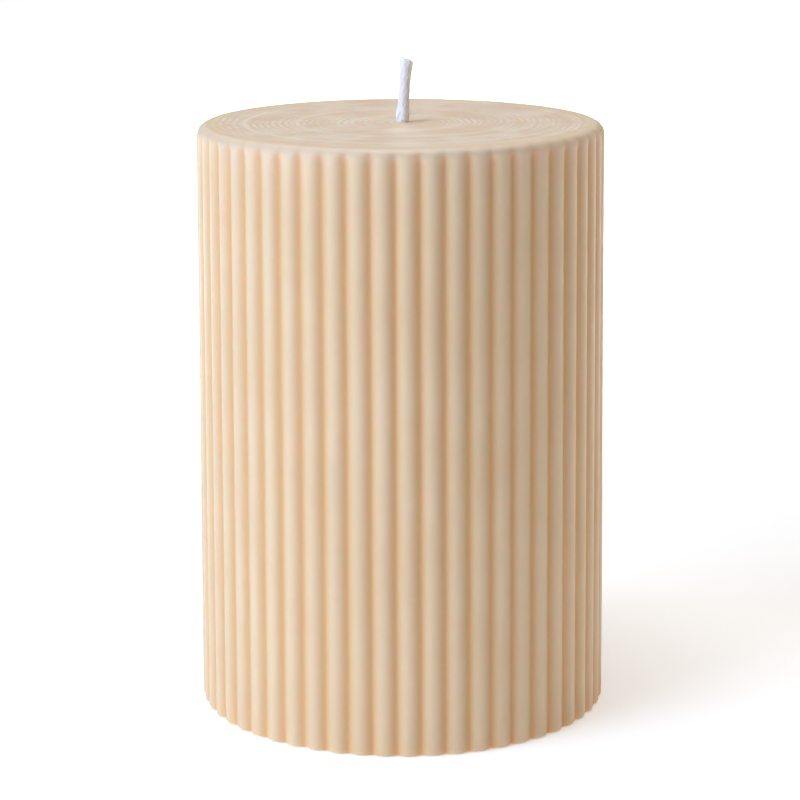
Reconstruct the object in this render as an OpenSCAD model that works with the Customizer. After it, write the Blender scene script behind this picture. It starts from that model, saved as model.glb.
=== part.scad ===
// Ribbed pillar candle: a reeded column of cast wax on a plaited cotton wick,
// with a pressed metal wick tab let into the base.
// The wax stands on the plane z = 0, its axis is the Z axis, and its front faces -Y.

/* [Wax body] */
// Diameter across the rib crests at the base
body_d = 70; // [69:0.5:74]
// Diameter across the rib crests at the top, less than at the base by the mould's draft
body_top_d = 68.5; // [68.5:0.5:74]
// Height of the wax
body_h = 100; // [75:1:150]
// Rounding of the top rim
rim_r = 1.8; // [1:0.1:2.4]
// Rounding of the base edge
base_edge_r = 0.7; // [0.4:0.1:2]

/* [Ribs] */
// Number of ribs around the body
rib_count = 54; // [45:1:54]
// Height of a rib's crest above the floor of the groove beside it
rib_depth = 0.7; // [0.5:0.05:1]
// Radius of a rib's rounded crest
rib_r = 1.85; // [1.6:0.05:1.85]
// Turn of the groove nearest the front, towards +X, in degrees
groove_turn = -1.6; // [-3:0.1:3]

/* [Wick] */
// Diameter of the wick
wick_d = 2; // [1.5:0.1:3]
// Length of wick that stands out of the wax
wick_stub = 10.4; // [6:0.1:20]
// How far below the top of the wax the wick starts to lean towards +X
wick_lean_start = 14; // [8:1:30]
// Radius of the bend that the leaning end of the wick follows
wick_bend_r = 280; // [150:10:600]
// Slant of the cut at the tip, in degrees
tip_slant = 20; // [0:1:35]

/* [Wick tab] */
// Diameter of the tab's disc
tab_d = 20; // [15:1:33]
// Thickness of the tab's sheet metal
tab_t = 0.3; // [0.2:0.05:0.5]
// Height of the tab's neck above the underside of its disc
tab_neck_h = 6; // [4:0.5:10]
// Depth of the tab's underside above the base of the candle
tab_recess = 0.3; // [0.1:0.1:1]

/* [Hidden] */

base_r = body_d / 2;
top_r = body_top_d / 2;
rib_pitch = 360 / rib_count;
rib_lean = atan((base_r - top_r) / body_h);
wick_r = wick_d / 2;
neck_r = wick_r + tab_t;
lean_z = body_h - wick_lean_start;
tip_rise = wick_lean_start + wick_stub;
tip_angle = asin(tip_rise / wick_bend_r);
tip_x = wick_bend_r * (1 - cos(tip_angle));
// The trimming outline stands this far outside the crests, so that it never runs along them
trim_gap = 0.15;
// A cutter or a trimmed bar runs this far past the face that ends it
past = 1;

// Half section of the solid that trims the ribs, with the rounded rim and base edge
module trim_outline() {
    outer_base = base_r + trim_gap;
    outer_top = top_r + trim_gap;
    polygon([
        [0, 0],
        [outer_base - base_edge_r, 0],
        [outer_base, base_edge_r],
        [outer_top, body_h - rim_r],
        [outer_top - rim_r, body_h],
        [0, body_h]
    ]);
    translate([outer_base - base_edge_r, base_edge_r]) circle(r = base_edge_r, $fn = 48);
    translate([outer_top - rim_r, body_h - rim_r]) circle(r = rim_r, $fn = 48);
}

// One rib: a round bar that leans inwards, so that its crest follows the draft of the body
module rib() {
    translate([base_r - rib_r, 0, 0])
        rotate([0, -rib_lean, 0])
            translate([0, 0, -past])
                cylinder(r = rib_r, h = body_h + 2 * past, $fn = 48);
}

module ribbed_column() {
    cylinder(r1 = base_r - rib_depth, r2 = top_r - rib_depth, h = body_h, $fn = 180);
    for (i = [0 : rib_count - 1])
        rotate([0, 0, groove_turn - 90 + (i + 0.5) * rib_pitch]) rib();
}

// The room that the wick tab takes up in the base
module tab_seat() {
    translate([0, 0, -past]) cylinder(d = tab_d, h = past + tab_recess + tab_t, $fn = 96);
    translate([0, 0, -past]) cylinder(r = neck_r, h = past + tab_recess + tab_neck_h, $fn = 48);
}

// The wick's whole route with an uncut tip: straight up the axis, then a slight bend towards +X
module wick_route() {
    translate([0, 0, tab_recess]) cylinder(r = wick_r, h = lean_z - tab_recess, $fn = 48);
    translate([wick_bend_r, 0, lean_z])
        rotate([90, 0, 180])
            rotate_extrude(angle = tip_angle + 1, $fn = 1440)
                translate([wick_bend_r, 0]) circle(r = wick_r, $fn = 48);
}

module wax_body() {
    color("BlanchedAlmond")
    difference() {
        intersection() {
            ribbed_column();
            rotate_extrude($fn = 180) trim_outline();
        }
        tab_seat();
        wick_route();
    }
}

// The wick, cut off at a slant at its tip
module wick() {
    cut = 4 * wick_d;
    color("White")
    difference() {
        wick_route();
        translate([tip_x, 0, body_h + wick_stub])
            rotate([0, tip_angle + tip_slant, 0])
                translate([-cut, -cut, 0]) cube([2 * cut, 2 * cut, 2 * cut]);
    }
}

// The wick tab: a thin disc with a neck that is crimped round the foot of the wick
module wick_tab() {
    color("Silver")
    translate([0, 0, tab_recess])
    difference() {
        union() {
            cylinder(d = tab_d, h = tab_t, $fn = 96);
            cylinder(r = neck_r, h = tab_neck_h, $fn = 48);
        }
        translate([0, 0, -past]) cylinder(r = wick_r, h = tab_neck_h + 2 * past, $fn = 48);
    }
}

wax_body();
wick();
wick_tab();
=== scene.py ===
import math
import random

import bmesh
import bpy
import numpy as np
from mathutils import Matrix, Vector


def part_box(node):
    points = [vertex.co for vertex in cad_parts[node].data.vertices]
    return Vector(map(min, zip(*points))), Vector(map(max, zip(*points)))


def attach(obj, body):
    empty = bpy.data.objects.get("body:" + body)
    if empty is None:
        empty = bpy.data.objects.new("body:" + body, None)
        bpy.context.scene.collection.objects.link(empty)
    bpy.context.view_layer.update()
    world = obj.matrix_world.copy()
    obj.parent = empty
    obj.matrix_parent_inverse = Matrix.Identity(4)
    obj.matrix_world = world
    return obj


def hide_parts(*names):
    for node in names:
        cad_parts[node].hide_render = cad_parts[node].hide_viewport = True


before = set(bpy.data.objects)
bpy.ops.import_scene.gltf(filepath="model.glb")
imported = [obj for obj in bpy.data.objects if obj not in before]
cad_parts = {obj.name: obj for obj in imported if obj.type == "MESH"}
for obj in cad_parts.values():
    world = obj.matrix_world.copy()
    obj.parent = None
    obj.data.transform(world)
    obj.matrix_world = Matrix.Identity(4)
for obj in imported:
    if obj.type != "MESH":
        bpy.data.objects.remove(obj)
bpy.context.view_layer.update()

# A millimetre, in the frame's metres
MM = 0.001

# --- Driving dimensions: the frame's own, and the part's named values -------------------------

WAX_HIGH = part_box("wax_body")[1]
WICK_LOW, WICK_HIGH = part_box("wick")
TAB_LOW, TAB_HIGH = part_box("wick_tab")


def crest_radius(low, high):
    """The furthest that the CAD wax body reaches from its axis between two heights."""
    points = [v.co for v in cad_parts["wax_body"].data.vertices]
    return max(math.hypot(p.x, p.y) for p in points if low < p.z < high)


HEIGHT = WAX_HIGH.z
BASE_R = crest_radius(0, 0.1 * HEIGHT)
TOP_R = crest_radius(0.9 * HEIGHT, HEIGHT)
RIM_R = 1.8 * MM
BASE_EDGE_R = 0.7 * MM
# The poured top reaches this far out, to where the rim's rounding starts
FLAT_R = TOP_R - RIM_R

RIBS = 54
RIB_DEPTH = 0.7 * MM
# The cast crests are flatter than the CAD model's round bars, which have to stay clear of each other
RIB_R = 2.6 * MM
RIB_PITCH = 2 * math.pi / RIBS
GROOVE_TURN = math.radians(-1.6)
POINTS_PER_RIB = 12
AROUND = RIBS * POINTS_PER_RIB
ANGLES = np.arange(AROUND) * 2 * math.pi / AROUND

WICK_R = (WICK_HIGH.y - WICK_LOW.y) / 2
WICK_LEAN_START = HEIGHT - 14 * MM
WICK_BEND_R = 280 * MM
TIP_SLANT = math.radians(20)

SHEET = 0.3 * MM
TAB_R = TAB_HIGH.x
TAB_TOP = TAB_LOW.z + SHEET
NECK_R = WICK_R + SHEET


# --- Helpers ----------------------------------------------------------------------------------


def smooth_step(x, low, high):
    """0 below low and 1 above high, with a smooth rise between them."""
    t = np.clip((x - low) / (high - low), 0, 1)
    return t * t * (3 - 2 * t)


def bump_curve(x, middle, width):
    """A bell curve: 1 at its middle, and about a third one width away from it."""
    return np.exp(-(((x - middle) / width) ** 2))


def wick_centre(z):
    """How far towards +X the wick's route is at a height."""
    rise = max(z - WICK_LEAN_START, 0)
    return WICK_BEND_R - math.sqrt(WICK_BEND_R**2 - rise**2)


def piece_from(name, points, faces, material, node):
    """A smooth-shaded piece that rides on the one body and stands for a CAD node."""
    mesh = bpy.data.meshes.new(name)
    mesh.from_pydata([tuple(p) for p in points], [], faces)
    mesh.update()
    turned = bmesh.new()
    turned.from_mesh(mesh)
    bmesh.ops.recalc_face_normals(turned, faces=turned.faces)
    turned.to_mesh(mesh)
    turned.free()
    mesh.polygons.foreach_set("use_smooth", [True] * len(mesh.polygons))
    piece = bpy.data.objects.new(name, mesh)
    bpy.context.collection.objects.link(piece)
    mesh.materials.append(material)
    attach(piece, "root")
    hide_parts(node)
    return piece


def ring_faces(rows, around, closed_rows=False):
    """Quads between rows of points that each run once around."""
    faces = []
    for i in range(rows if closed_rows else rows - 1):
        here, there = i * around, (i + 1) % rows * around
        for j in range(around):
            k = (j + 1) % around
            faces.append((here + j, here + k, there + k, there + j))
    return faces


# --- Materials --------------------------------------------------------------------------------

# Two colours that mottle the wax, then the painted shade of its grooves, the colours of its poured top and
# rings, and the painted shade of its rim
WAX_DEEP = (0.775, 0.595, 0.39)
WAX_PALE = (0.81, 0.635, 0.43)
# Painted shade for the grooves
GROOVE_SHADE = (0.80, 0.49, 0.225)
WAX_TOP = (0.755, 0.575, 0.41)
WAX_RING = (0.88, 0.78, 0.64)
# Painted shade for the rim
RIM_SHADE = (0.61, 0.51, 0.39)
# How strongly the fine rings show, and the pale ridges on the top with the painted highlight near the top of
# the side
RING_STRENGTH = 0.95
PALE_STRENGTH = 0.8

# The core is the same cotton painted darker than the yarns round it, as painted shade, so that its cut face
# shows at the tip under the light from above
YARN_DARK = (0.94, 0.95, 0.98)
YARN_LIGHT = (0.98, 0.98, 1.0)
SHADED_CORE_DARK = (0.74, 0.75, 0.80)
SHADED_CORE_LIGHT = (0.84, 0.85, 0.90)

TIN_DARK = (0.56, 0.56, 0.54)
TIN_LIGHT = (0.68, 0.68, 0.66)


def new_material(name):
    """A material with its nodes, its links and its main shader."""
    material = bpy.data.materials.new(name)
    material.use_nodes = True
    nodes, links = material.node_tree.nodes, material.node_tree.links
    return material, nodes, links, nodes["Principled BSDF"]


def noise(nodes, links, scale, detail=2.0, roughness=0.5):
    """A noise texture in the object's own coordinates, at so many features a metre."""
    place = nodes.new("ShaderNodeTexCoord")
    texture = nodes.new("ShaderNodeTexNoise")
    texture.inputs["Scale"].default_value = scale
    texture.inputs["Detail"].default_value = detail
    texture.inputs["Roughness"].default_value = roughness
    links.new(place.outputs["Object"], texture.inputs["Vector"])
    return texture.outputs["Fac"]


def rings(nodes, links, spacing, wander):
    """Rings round the Z axis, so far apart, that wander a little: 0 between them and 1 on their lines."""
    place = nodes.new("ShaderNodeTexCoord")
    texture = nodes.new("ShaderNodeTexWave")
    texture.wave_type = "RINGS"
    texture.rings_direction = "Z"
    # At a scale of 1 the texture has 20 rings in every 2 pi metres
    texture.inputs["Scale"].default_value = 2 * math.pi / (20 * spacing)
    texture.inputs["Distortion"].default_value = wander
    texture.inputs["Detail"].default_value = 2.0
    texture.inputs["Detail Scale"].default_value = 0.35
    links.new(place.outputs["Object"], texture.inputs["Vector"])
    return texture.outputs["Fac"]


def attribute(nodes, name):
    """A value that the mesh holds at each of its points."""
    reader = nodes.new("ShaderNodeAttribute")
    reader.attribute_name = name
    return reader.outputs["Fac"]


def spread(nodes, links, value, low, high):
    """value stretched so that low to high runs from 0 to 1."""
    stretch = nodes.new("ShaderNodeMapRange")
    stretch.inputs["From Min"].default_value = low
    stretch.inputs["From Max"].default_value = high
    links.new(value, stretch.inputs["Value"])
    return stretch.outputs["Result"]


def multiply(nodes, links, first, second):
    """The product of two values, each a number or a socket."""
    node = nodes.new("ShaderNodeMath")
    node.operation = "MULTIPLY"
    for socket, value in zip(node.inputs, (first, second)):
        if isinstance(value, float):
            socket.default_value = value
        else:
            links.new(value, socket)
    return node.outputs["Value"]


def blend_colours(nodes, links, share, first, second):
    """A mix of two colours, each a tuple or a socket, that is the second one where share is 1."""
    mix = nodes.new("ShaderNodeMix")
    mix.data_type = "RGBA"
    links.new(share, mix.inputs["Factor"])
    for socket, colour in ((mix.inputs["A"], first), (mix.inputs["B"], second)):
        if isinstance(colour, tuple):
            socket.default_value = (*colour, 1)
        else:
            links.new(colour, socket)
    return mix.outputs["Result"]


def bump(nodes, links, shader, height, strength, distance):
    """Fine relief on a shader, from a height of 0 to 1 that stands for so many metres."""
    node = nodes.new("ShaderNodeBump")
    node.inputs["Strength"].default_value = strength
    node.inputs["Distance"].default_value = distance
    links.new(height, node.inputs["Height"])
    links.new(node.outputs["Normal"], shader.inputs["Normal"])


def wax_colour(nodes, links):
    """The wax's mottled colour, with painted shade in the grooves and on the rim, a painted highlight near
    the top of the side, and fine pale rings on the poured top.
    """
    mottle = spread(nodes, links, noise(nodes, links, scale=70, detail=4.0), 0.35, 0.65)
    on_top = attribute(nodes, "top_face")
    body = blend_colours(nodes, links, mottle, WAX_DEEP, WAX_PALE)
    # Painted shade in the grooves
    body = blend_colours(nodes, links, attribute(nodes, "groove"), body, GROOVE_SHADE)
    body = blend_colours(nodes, links, on_top, body, WAX_TOP)
    broken = spread(nodes, links, noise(nodes, links, scale=130, detail=3.0), 0.4, 0.62)
    fine = multiply(nodes, links, rings(nodes, links, spacing=1.1 * MM, wander=5.0), broken)
    fine = multiply(nodes, links, multiply(nodes, links, fine, on_top), RING_STRENGTH)
    body = blend_colours(nodes, links, fine, body, WAX_RING)
    # The pale ridges of the rings on the top, and on the side a painted highlight towards the top
    pale = multiply(nodes, links, attribute(nodes, "pale"), PALE_STRENGTH)
    body = blend_colours(nodes, links, pale, body, WAX_RING)
    # Painted shade on the rim
    return blend_colours(nodes, links, attribute(nodes, "rim"), body, RIM_SHADE)


def wax_material():
    """Cream wax, with a soft glow of light inside it and an uneven haze on it."""
    material, nodes, links, shader = new_material("cream_wax")
    links.new(wax_colour(nodes, links), shader.inputs["Base Color"])
    haze = spread(nodes, links, noise(nodes, links, scale=420, detail=3.0), 0.3, 0.7)
    gloss = nodes.new("ShaderNodeMapRange")
    gloss.inputs["To Min"].default_value = 0.42
    gloss.inputs["To Max"].default_value = 0.56
    links.new(haze, gloss.inputs["Value"])
    links.new(gloss.outputs["Result"], shader.inputs["Roughness"])
    shader.inputs["IOR"].default_value = 1.44
    shader.inputs["Subsurface Weight"].default_value = 0.7
    shader.inputs["Subsurface Radius"].default_value = (1.0, 0.4, 0.18)
    shader.inputs["Subsurface Scale"].default_value = 3 * MM
    grain = noise(nodes, links, scale=2600, detail=3.0, roughness=0.6)
    bump(nodes, links, shader, grain, strength=0.12, distance=0.05 * MM)
    return material


def cotton_material(name, dark, light):
    """Cotton yarn with a little wax in it, its fibres running up the wick."""
    material, nodes, links, shader = new_material(name)
    place = nodes.new("ShaderNodeTexCoord")
    stretch = nodes.new("ShaderNodeMapping")
    stretch.inputs["Scale"].default_value = (1, 1, 0.14)
    links.new(place.outputs["Object"], stretch.inputs["Vector"])
    texture = nodes.new("ShaderNodeTexNoise")
    texture.inputs["Scale"].default_value = 5200
    texture.inputs["Detail"].default_value = 3.0
    links.new(stretch.outputs["Vector"], texture.inputs["Vector"])
    fibres = spread(nodes, links, texture.outputs["Fac"], 0.3, 0.7)
    colour = blend_colours(nodes, links, fibres, dark, light)
    links.new(colour, shader.inputs["Base Color"])
    shader.inputs["Roughness"].default_value = 0.6
    shader.inputs["Subsurface Weight"].default_value = 0.15
    shader.inputs["Subsurface Radius"].default_value = (0.7, 0.7, 0.8)
    shader.inputs["Subsurface Scale"].default_value = 0.5 * MM
    shader.inputs["Sheen Weight"].default_value = 0.6
    shader.inputs["Sheen Roughness"].default_value = 0.5
    bump(nodes, links, shader, fibres, strength=0.2, distance=0.02 * MM)
    return material


def tin_material():
    """Bright tin plate, a little hazed."""
    material, nodes, links, shader = new_material("tin_plate")
    fine = noise(nodes, links, scale=900, detail=5.0, roughness=0.6)
    grain = spread(nodes, links, fine, 0.3, 0.7)
    colour = blend_colours(nodes, links, grain, TIN_DARK, TIN_LIGHT)
    links.new(colour, shader.inputs["Base Color"])
    shader.inputs["Metallic"].default_value = 1.0
    shader.inputs["Roughness"].default_value = 0.3
    bump(nodes, links, shader, grain, strength=0.15, distance=0.03 * MM)
    return material


def floor_material():
    """A pale ground with a faint glow, which keeps the photo's white all round the candle."""
    material, *_, shader = new_material("pale_floor")
    shader.inputs["Base Color"].default_value = (0.93, 0.93, 0.93, 1)
    shader.inputs["Roughness"].default_value = 0.7
    shader.inputs["Emission Color"].default_value = (1, 1, 1, 1)
    shader.inputs["Emission Strength"].default_value = 0.27
    return material


# --- The wax body -----------------------------------------------------------------------------

# The grooves have their full depth up to GROOVE_FULL, and would run out at GROOVE_END, just above the rim
GROOVE_FULL = HEIGHT - 2.6 * MM
GROOVE_END = HEIGHT + 0.4 * MM

# The poured top: its rings lie between these radii, and two of them are bolder than the rest
FIRST_RING_R = 3.2 * MM
LAST_RING_R = 30.5 * MM
BOLD_RINGS_R = (17.6 * MM, 26.4 * MM)
BOLD_RING_HEIGHT = 0.022 * MM
# A ridge this high is as pale as a ring gets, and the top lies as far below the wax's full height
RING_FULL = 0.02 * MM
# Rows across the poured top, close enough together to carry its rings
TOP_ROWS = 170
SWIRL_SEED = 11

# Between these radii the rings rise beside the wick, and die out before the rim
RINGS_RISE = (1.2 * MM, 3 * MM)
RINGS_FADE = (30 * MM, 31.6 * MM)
# Between these the rows stop following the wick's lean
LEAN_FADE = (1.5 * MM, 9 * MM)
# Between these the poured top's colour ends, and the rim's painted shade begins
TOP_COLOUR_FADE = (30.5 * MM, 32.2 * MM)
RIM_SHADE_RISE = (31.8 * MM, 32.4 * MM)

# The wax that creeps up the wick as it sets: its rise, and how fast it dies away from the wick
MENISCUS_RISE = 0.14 * MM
MENISCUS_REACH = 0.3 * MM

# How strongly the rim's painted shade shows at the edge of the poured top and on the rounding, where it is a
# band
RIM_SHADE_ON_TOP = 0.25
RIM_SHADE_ON_SIDE = 0.75
RIM_BAND_HEIGHT = HEIGHT - 0.6 * MM
RIM_BAND_WIDTH = 0.7 * MM
# The side has a painted highlight towards the top, stronger on the crests: how much at the very top, and how
# far down it has faded to a third
SIDE_HIGHLIGHT = 0.5
SIDE_HIGHLIGHT_REACH = 3.5 * MM


def groove_shape(angles):
    """0 on a rib's crest and 1 on the floor of a groove: round ribs with softly filled valleys."""
    turns = (angles + math.pi / 2 - GROOVE_TURN) / RIB_PITCH
    off_crest = np.abs(turns - np.floor(turns) - 0.5) * RIB_PITCH * BASE_R
    drop = np.where(
        off_crest < RIB_R,
        RIB_R - np.sqrt(np.maximum(RIB_R**2 - off_crest**2, 0)),
        RIB_R,
    )
    soft = 0.6 * RIB_DEPTH
    near = np.maximum(soft - np.abs(drop - RIB_DEPTH), 0) / soft
    floor_drop = np.minimum(drop, RIB_DEPTH) - near**2 * soft / 4
    return floor_drop / floor_drop.max()


def groove_share(z):
    """The share of the grooves' depth that is left at a height."""
    return float(smooth_step(-z, -GROOVE_END, -GROOVE_FULL))


class Swirl:
    """The rings on the poured top: low ridges, each a little off centre and uneven round its length."""

    def __init__(self, seed):
        rng = random.Random(seed)
        self.rings = []
        radius = FIRST_RING_R
        while radius < LAST_RING_R:
            ring = {
                "radius": radius,
                "height": rng.uniform(0.004, 0.014) * MM,
                "width": rng.uniform(0.2, 0.36) * MM,
                "off": rng.uniform(0, 0.4) * MM,
                "off_at": rng.uniform(0, 2 * math.pi),
                "strong_at": rng.uniform(0, 2 * math.pi),
            }
            self.rings.append(ring)
            radius += rng.uniform(0.6, 1.2) * MM
        for radius in BOLD_RINGS_R:
            bold = dict(self.rings[-1], radius=radius, height=BOLD_RING_HEIGHT, off_at=0.6, strong_at=4.2)
            self.rings.append(bold)

    def height(self, radius, angles):
        """The ridges along a circle. They fade out beside the wick and towards the rim."""
        total = np.zeros(len(angles))
        for ring in self.rings:
            middle = ring["radius"] + ring["off"] * np.cos(angles - ring["off_at"])
            share = 0.5 + 0.5 * np.cos(angles - ring["strong_at"])
            total += ring["height"] * share * bump_curve(radius, middle, ring["width"])
        inside_rim = 1 - float(smooth_step(radius, *RINGS_FADE))
        off_wick = float(smooth_step(radius, *RINGS_RISE))
        return total * inside_rim * off_wick


def top_and_rim_rows():
    """Rows from the wick out over the poured top, close together in the meniscus, and round the rim."""
    rows = [(r, HEIGHT, 0, "top") for r in np.arange(WICK_R + 0.05 * MM, 1.8 * MM, 0.12 * MM)]
    rows += [(r, HEIGHT, 0, "top") for r in np.linspace(1.9 * MM, FLAT_R - 0.1 * MM, TOP_ROWS)]
    for a in np.linspace(math.pi / 2, 0, 11):
        z = HEIGHT - RIM_R + RIM_R * math.sin(a)
        rows.append((FLAT_R + RIM_R * math.cos(a), z, groove_share(z), "side"))
    return rows


def side_and_base_rows():
    """Rows down the ribbed side, round the base edge and in over the flat base."""
    rows = []
    fading = np.linspace(HEIGHT - RIM_R - 0.3 * MM, GROOVE_FULL, 4)
    full = np.linspace(GROOVE_FULL - MM, BASE_EDGE_R, 26)
    for z in np.concatenate([fading, full]):
        rows.append((BASE_R + (TOP_R - BASE_R) * z / HEIGHT, z, groove_share(z), "side"))
    for a in np.linspace(0, math.pi / 2, 7)[1:]:
        radius = BASE_R - BASE_EDGE_R * (1 - math.cos(a))
        rows.append((radius, BASE_EDGE_R * (1 - math.sin(a)), 1, "side"))
    for radius in (32.0 * MM, 30.5 * MM, 25 * MM, 18 * MM, 12 * MM):
        rows.append((radius, 0, 0, "base"))
    return rows


def seat_rows():
    """Rows up the stepped seat of the tab, with every corner nicked, and up the wick's channel."""
    nick = 0.06 * MM
    section = []
    for radius, low, high in ((TAB_R, 0, TAB_TOP), (NECK_R, TAB_TOP, TAB_HIGH.z)):
        section += [(radius + nick, low), (radius, low + nick), (radius, high - nick), (radius - nick, high)]
    section += [(WICK_R + nick, TAB_HIGH.z), (WICK_R, TAB_HIGH.z + nick)]
    straight = np.linspace(20 * MM, WICK_LEAN_START, 4)
    leaning = np.linspace(90 * MM, HEIGHT - nick, 6)
    section += [(WICK_R, z) for z in np.concatenate([straight, leaning])]
    return [(radius, z, 0, "seat") for radius, z in section]


def wax_profile():
    """Rows of the section, once round it: (radius, height, share of the groove, kind of face)."""
    return top_and_rim_rows() + side_and_base_rows() + seat_rows()


def row_tints(radius, z, share, kind, groove, ridges):
    """The values from 0 to 1 that the wax material reads along one row."""
    # The groove value carries the painted shade in the grooves, fading out towards the top
    tints = {"groove": groove * share, "pale": 0, "top_face": 0, "rim": 0}
    if kind == "top":
        tints["pale"] = np.clip(ridges / RING_FULL, 0, 1)
        tints["top_face"] = 1 - smooth_step(radius, *TOP_COLOUR_FADE)
        # Painted shade at the edge of the poured top, where the rim's rounding begins
        tints["rim"] = RIM_SHADE_ON_TOP * smooth_step(radius, *RIM_SHADE_RISE)
    if kind == "side":
        # Painted highlight towards the top of the side, stronger on the crests than in the grooves
        tints["pale"] = (1 - 0.5 * groove) * SIDE_HIGHLIGHT * math.exp(-(HEIGHT - z) / SIDE_HIGHLIGHT_REACH)
        # Painted shade in a band on the rim's rounding
        tints["rim"] = RIM_SHADE_ON_SIDE * bump_curve(z, RIM_BAND_HEIGHT, RIM_BAND_WIDTH)
    return tints


def make_wax(material):
    """The casting as one closed mesh. Its rows near the wick follow the wick's lean."""
    groove = groove_shape(ANGLES)
    swirl = Swirl(SWIRL_SEED)
    points = []
    tints = {"groove": [], "pale": [], "top_face": [], "rim": []}
    for radius, z, share, kind in wax_profile():
        ridges = np.zeros(AROUND)
        heights = np.full(AROUND, z, float)
        if kind == "top":
            ridges = swirl.height(radius, ANGLES)
            heights += ridges - RING_FULL
            heights += MENISCUS_RISE * math.exp(-(radius - WICK_R) / MENISCUS_REACH)
        reach = radius - RIB_DEPTH * share * groove
        lean = wick_centre(z) * (1 - float(smooth_step(radius, *LEAN_FADE)))
        points.append(np.stack([reach * np.cos(ANGLES) + lean, reach * np.sin(ANGLES), heights], 1))
        for name, values in row_tints(radius, z, share, kind, groove, ridges).items():
            tints[name].append(np.full(AROUND, values))
    faces = ring_faces(len(points), AROUND, closed_rows=True)
    piece = piece_from("candle_wax", np.concatenate(points), faces, material, "wax_body")
    for name, values in tints.items():
        layer = piece.data.attributes.new(name, "FLOAT", "POINT")
        layer.data.foreach_set("value", np.concatenate(values).astype(np.float32))


# --- The wick ---------------------------------------------------------------------------------

STRANDS = 12
BRAID_TURN = 14.0 * MM
BRAID_R = 0.80 * MM
STRAND_HALF_WIDTH = 0.40 * MM
STRAND_HALF_THICK = 0.14 * MM
STRAND_ROWS = 220
STRAND_SIDES = 10
# How far a yarn steps out where it passes over another one, and in where it passes under
WEAVE_STEP = 0.015 * MM
# The yarns that turn one way start this much further round, in radians
WAY_OFFSET = 0.1
BRAID_SEED = 5
CORE_R = 0.83 * MM
CORE_SIDES = 24
# The wick's bulge above the wax, as a share of its width, then the height of its middle and its reach
FOOT_BULGE = 0.28
FOOT_HEIGHT = 1.3 * MM
FOOT_REACH = 1.1 * MM
# The wick's flare at the tip, as a share of its width
TIP_FLARE = 0.22


def wick_swell(z, lobe=1.0):
    """How much wider the wick is than in the wax: it bulges at its foot, by lobe, and flares at its tip."""
    above = z - HEIGHT
    stub = WICK_HIGH.z - HEIGHT
    foot = FOOT_BULGE * lobe * float(bump_curve(above, FOOT_HEIGHT, FOOT_REACH))
    return 1 + foot + TIP_FLARE * float(smooth_step(above, 0.6 * stub, stub))


def tip_height(reach):
    """The height of the slanted cut, so far towards +X from the wick's middle."""
    return WICK_HIGH.z - (WICK_R + reach) * math.tan(TIP_SLANT)


def tube(centres, widths, thicks, outward, sides):
    """Points of a tube along centres, wide across the outward direction and thin along it."""
    points = []
    for i, centre in enumerate(centres):
        ahead = centres[min(i + 1, len(centres) - 1)] - centres[max(i - 1, 0)]
        across = ahead.cross(outward[i]).normalized()
        out = across.cross(ahead).normalized()
        for k in range(sides):
            a = 2 * math.pi * k / sides
            points.append(centre + across * widths[i] * math.cos(a) + out * thicks[i] * math.sin(a))
    return points


def tube_faces(rows, sides):
    """The faces of a tube that is closed at both ends."""
    ends = [tuple(reversed(range(sides))), tuple(range((rows - 1) * sides, rows * sides))]
    return ring_faces(rows, sides) + ends


def make_strand(index, material, rng):
    """One yarn of the round braid: half of them turn each way, and each goes over one and under one."""
    way = 1 if index % 2 == 0 else -1
    start = index // 2 * 4 * math.pi / STRANDS + (WAY_OFFSET if way > 0 else 0)
    rate = 2 * math.pi / BRAID_TURN
    low = WICK_LOW.z
    end_turn = start + way * rate * (WICK_HIGH.z - low)
    high = tip_height(1.2 * BRAID_R * math.cos(end_turn)) - rng.uniform(0, 0.04) * MM
    lobe = rng.uniform(0.4, 1.2)
    # Two more rows, each narrower, round off the cut end
    heights = list(np.linspace(low, high - 0.10 * MM, STRAND_ROWS)) + [high - 0.03 * MM, high]
    sizes = [1] * STRAND_ROWS + [0.88, 0.55]
    centres, outward, widths, thicks = [], [], [], []
    for z, size in zip(heights, sizes):
        turn = start + way * rate * (z - low)
        swell = wick_swell(z, lobe)
        weave = way * WEAVE_STEP * math.cos(STRANDS / 2 * rate * (z - low))
        out = Vector((math.cos(turn), math.sin(turn), 0))
        radius = (BRAID_R + weave) * swell
        centres.append(Vector((wick_centre(z), 0, z)) + out * radius)
        outward.append(out)
        widths.append(STRAND_HALF_WIDTH * swell * size)
        thicks.append(STRAND_HALF_THICK * swell * size)
    points = tube(centres, widths, thicks, outward, STRAND_SIDES)
    faces = tube_faces(len(heights), STRAND_SIDES)
    piece = piece_from(f"wick_strand_{index + 1}", points, faces, material, "wick")


def make_core(material):
    """The straight yarn that the strands are plaited round, cut off at the same slant."""
    high = tip_height(0)
    heights = list(np.linspace(WICK_LOW.z, high - 3 * MM, 60))
    heights += list(np.linspace(high - 2.7 * MM, high, 14)) + [high]
    sizes = [1] * (len(heights) - 2) + [0.93, 0.80]
    points = []
    for z, size in zip(heights, sizes):
        slanted = float(smooth_step(z, high - 2.5 * MM, high)) * math.tan(TIP_SLANT)
        radius = CORE_R * wick_swell(z) * size
        for k in range(CORE_SIDES):
            a = 2 * math.pi * k / CORE_SIDES
            reach = radius * math.cos(a)
            points.append(Vector((wick_centre(z) + reach, radius * math.sin(a), z - reach * slanted)))
    faces = tube_faces(len(heights), CORE_SIDES)
    piece = piece_from("wick_core", points, faces, material, "wick")


def make_wick(yarn, core):
    """Twelve yarns plaited round a core."""
    rng = random.Random(BRAID_SEED)
    for index in range(STRANDS):
        make_strand(index, yarn, rng)
    make_core(core)


# --- The wick tab -----------------------------------------------------------------------------

TAB_SIDES = 96
NECK_ROWS = 14
# The radius at which the disc turns up into its neck, and the small one of the neck's upper edge
NECK_BEND = 0.3 * MM
NECK_EDGE = 0.1 * MM
# Four dents that crimp the neck round the wick
CRIMPS = 4
CRIMP_DEPTH = 0.12 * MM
CRIMP_HEIGHT = 4.4 * MM
CRIMP_WIDTH = 1.0 * MM


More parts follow.
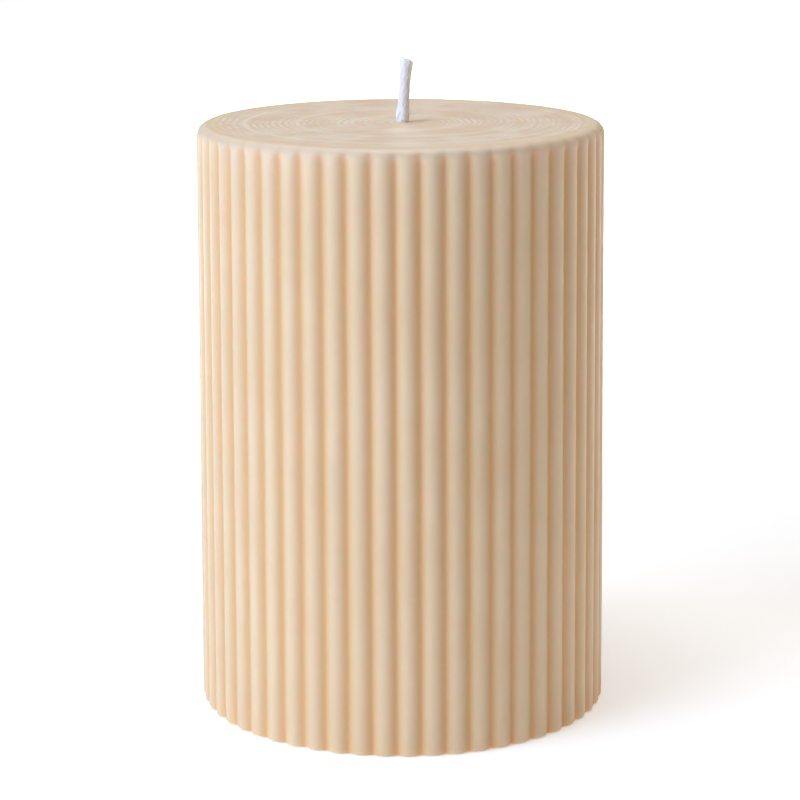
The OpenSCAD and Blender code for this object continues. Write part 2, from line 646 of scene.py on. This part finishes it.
def tab_profile():
    """Points of the section, once round it: (radius, height)."""
    low, high = TAB_LOW.z, TAB_HIGH.z
    edge = (TAB_TOP - low) / 2
    over_disc = (7 * MM, 3 * MM)
    rows = []
    for a in np.linspace(-1.2, 1.2, 7):
        rows.append((TAB_R - edge + edge * math.cos(a), low + edge + edge * math.sin(a)))
    rows += [(r, TAB_TOP) for r in over_disc]
    rows += [(NECK_R + NECK_BEND, TAB_TOP), (NECK_R, TAB_TOP + NECK_BEND)]
    rows += [(NECK_R, z) for z in np.linspace(1.4 * MM, high - NECK_EDGE, NECK_ROWS)]
    rows += [(NECK_R - 0.08 * MM, high), (WICK_R + 0.05 * MM, high)]
    rows += [(WICK_R, z) for z in np.linspace(high - NECK_EDGE, low + NECK_BEND, NECK_ROWS)]
    rows += [(WICK_R + 0.15 * MM, low)] + [(r, low) for r in reversed(over_disc)]
    return rows


def make_tab(material):
    """The pressed disc with its crimped neck, one sheet thick all over."""
    rows = tab_profile()
    points = []
    for radius, z in rows:
        crimp = CRIMP_DEPTH * float(bump_curve(z, CRIMP_HEIGHT, CRIMP_WIDTH)) if z > TAB_TOP else 0
        for k in range(TAB_SIDES):
            a = 2 * math.pi * k / TAB_SIDES
            reach = radius - crimp * max(0, math.cos(CRIMPS * a)) ** 2
            points.append(Vector((reach * math.cos(a), reach * math.sin(a), z)))
    faces = ring_faces(len(rows), TAB_SIDES, closed_rows=True)
    piece = piece_from("wick_tab_plate", points, faces, material, "wick_tab")


# --- Stage, light and camera ------------------------------------------------------------------

# Half the width of the square floor, in metres
FLOOR_HALF = 2.5
# How far the lights round the candle are from its middle, in metres
LIGHT_AWAY = 1.0

KEY_BLUE = (0.83, 1.0, 1.31)
FILL_WARM = (1.0, 0.74, 0.50)
ROOM_WARM = (1.0, 0.80, 0.60, 1)
BACKDROP_GREY = (0.31, 0.31, 0.305, 1)

# The photo's camera, fitted to the candle's outline: its place in metres, its turns in radians, and its lens
CAMERA_PLACE = (0, -0.450, 0.15817)
LOOK_DOWN = 0.2317
ROLL = -0.0039
LENS_LENGTH = 120.9
LENS_SHIFT = -0.002


def make_floor():
    """The ground that the candle stands on."""
    mesh = bpy.data.meshes.new("floor")
    corners = [(x * FLOOR_HALF, y * FLOOR_HALF, 0) for x, y in ((-1, -1), (1, -1), (1, 1), (-1, 1))]
    mesh.from_pydata(corners, [], [(0, 1, 2, 3)])
    mesh.materials.append(floor_material())
    floor = bpy.data.objects.new("floor", mesh)
    bpy.context.collection.objects.link(floor)


def area_light(name, place, target, size, watts, colour=(1, 1, 1)):
    """A round lamp at a place, turned towards its target."""
    data = bpy.data.lights.new(name, "AREA")
    data.shape = "DISK"
    data.size = size
    data.energy = watts
    data.color = colour
    light = bpy.data.objects.new(name, data)
    light.location = place
    light.rotation_euler = (Vector(target) - Vector(place)).to_track_quat("-Z", "Y").to_euler()
    bpy.context.collection.objects.link(light)


def light_place(azimuth, elevation):
    """A point round the candle's middle: azimuth in degrees from the front, towards +X."""
    across, up = math.radians(azimuth), math.radians(elevation)
    level = LIGHT_AWAY * math.cos(up)
    return (level * math.sin(across), -level * math.cos(across), HEIGHT / 2 + LIGHT_AWAY * math.sin(up))


def studio_world():
    """A faint warm light from all round, behind a plain grey backdrop as pale as the far floor."""
    world = bpy.data.worlds.new("studio")
    world.use_nodes = True
    nodes, links = world.node_tree.nodes, world.node_tree.links
    light = nodes["Background"]
    light.inputs["Color"].default_value = ROOM_WARM
    light.inputs["Strength"].default_value = 0.02
    backdrop = nodes.new("ShaderNodeBackground")
    backdrop.inputs["Color"].default_value = BACKDROP_GREY
    path = nodes.new("ShaderNodeLightPath")
    mix = nodes.new("ShaderNodeMixShader")
    links.new(path.outputs["Is Camera Ray"], mix.inputs["Fac"])
    links.new(light.outputs["Background"], mix.inputs[1])
    links.new(backdrop.outputs["Background"], mix.inputs[2])
    links.new(mix.outputs["Shader"], nodes["World Output"].inputs["Surface"])
    return world


def make_lights():
    """A cool key on the left, a soft light overhead, a warm fill from behind, and one for the far floor."""
    middle = (0, 0, HEIGHT / 2)
    area_light("key_left", light_place(-58, 25), middle, size=0.8, watts=6.7, colour=KEY_BLUE)
    area_light("top_soft", light_place(0, 90), middle, size=0.8, watts=8.0)
    area_light("fill_right", light_place(120, 15), middle, size=0.6, watts=1.3, colour=FILL_WARM)
    area_light("backdrop", place=(0, 0.30, 0.70), target=(0, 1.80, 0.35), size=1.2, watts=34.0)
    bpy.context.scene.world = studio_world()
    bpy.context.scene.view_settings.view_transform = "Standard"


def make_camera():
    """A long lens in front of the candle, looking down on it a little."""
    data = bpy.data.cameras.new("camera")
    data.lens = LENS_LENGTH
    data.shift_x = LENS_SHIFT
    camera = bpy.data.objects.new("camera", data)
    bpy.context.collection.objects.link(camera)
    turn = Matrix.Rotation(math.pi / 2 - LOOK_DOWN, 4, "X") @ Matrix.Rotation(ROLL, 4, "Z")
    camera.matrix_world = Matrix.Translation(CAMERA_PLACE) @ turn
    bpy.context.scene.camera = camera


make_camera()
make_lights()
make_floor()
make_wax(wax_material())
make_wick(
    yarn=cotton_material("waxed_cotton", YARN_DARK, YARN_LIGHT),
    # The core's cotton is painted darker, as shade
    core=cotton_material("shaded_cotton_core", SHADED_CORE_DARK, SHADED_CORE_LIGHT),
)
make_tab(tin_material())
